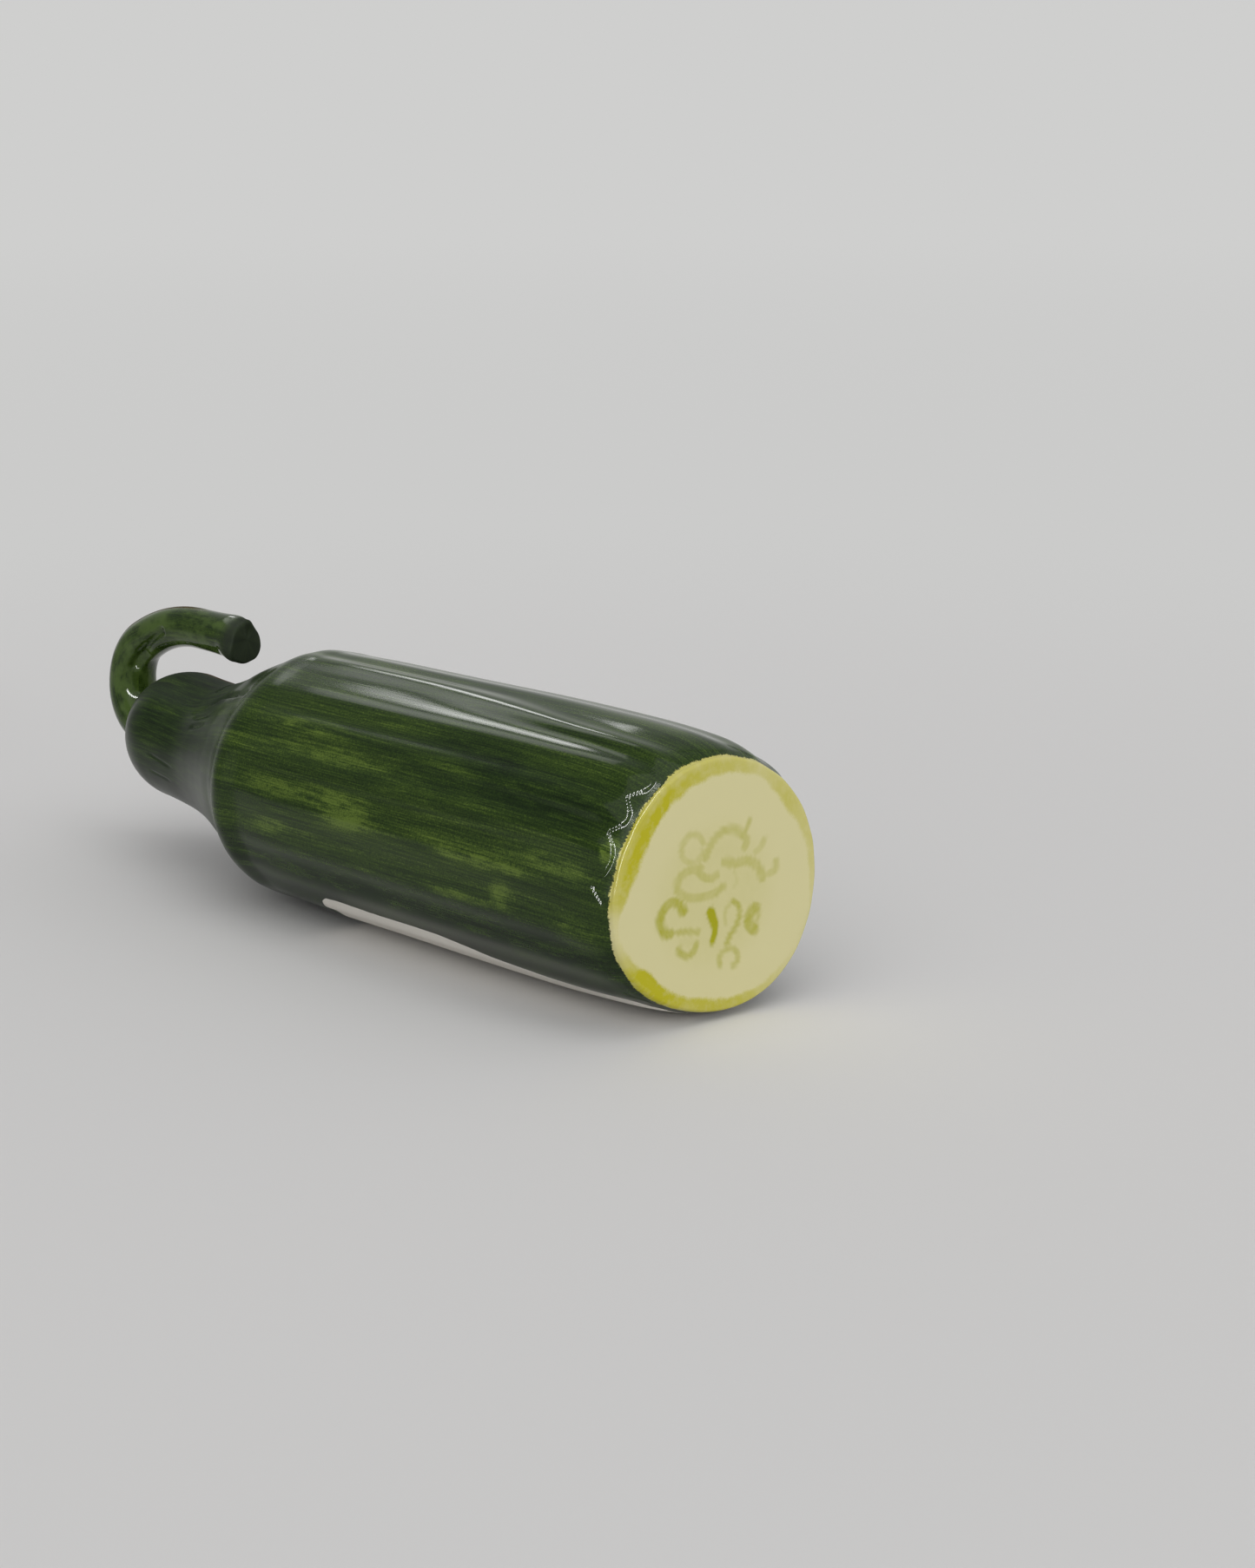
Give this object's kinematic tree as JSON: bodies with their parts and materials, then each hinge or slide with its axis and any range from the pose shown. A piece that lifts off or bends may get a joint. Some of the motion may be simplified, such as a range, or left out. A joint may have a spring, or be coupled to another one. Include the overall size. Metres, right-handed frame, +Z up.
{
  "type": "ceramic cucumber with a cut end",
  "caption": "Glazed ceramic cucumber lying on its side, with a ribbed green body, a painted cut end, a rounded neck and a curled stem, resting on a narrow flat foot.",
  "frame": {"origin": "on the surface that it lies on, under the middle of its overall length and width", "axes": "+X along the body from the stem end to the cut end, +Y across the body, +Z up from the foot"},
  "size_m": [0.2017, 0.0574, 0.0595],
  "materials": {
    "green_glaze": "glossy dark green glaze, streaked along the body, over cream painted clay at the cut and bare clay at the foot"
  },
  "bodies": {
    "root": {"cucumber": "green_glaze"}
  },
  "joints": []
}
